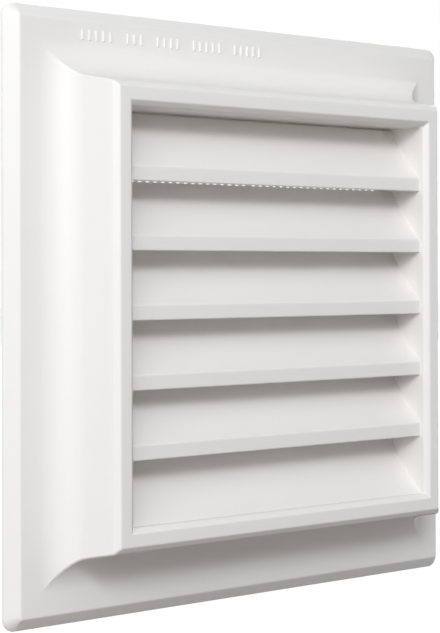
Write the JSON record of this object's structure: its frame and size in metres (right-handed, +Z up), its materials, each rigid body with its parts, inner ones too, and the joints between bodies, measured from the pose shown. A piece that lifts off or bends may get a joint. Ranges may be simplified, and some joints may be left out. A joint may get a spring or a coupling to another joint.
{
  "type": "ventilation grille",
  "caption": "Square surface-mounted ventilation grille with a projecting hood, fixed louvres and a clip-in insect net behind them.",
  "frame": {"origin": "middle of the plate's back, in the plane of the wall", "axes": "+X right as seen from the front, +Y into the wall, +Z up; the hood and louvres face -Y"},
  "size_m": [0.14, 0.0192, 0.14],
  "materials": {
    "grille": "smooth satin white moulding",
    "insect_net": "plain off-white moulding"
  },
  "bodies": {
    "root": {"grille": "grille", "insect_net": "insect_net"}
  },
  "joints": []
}
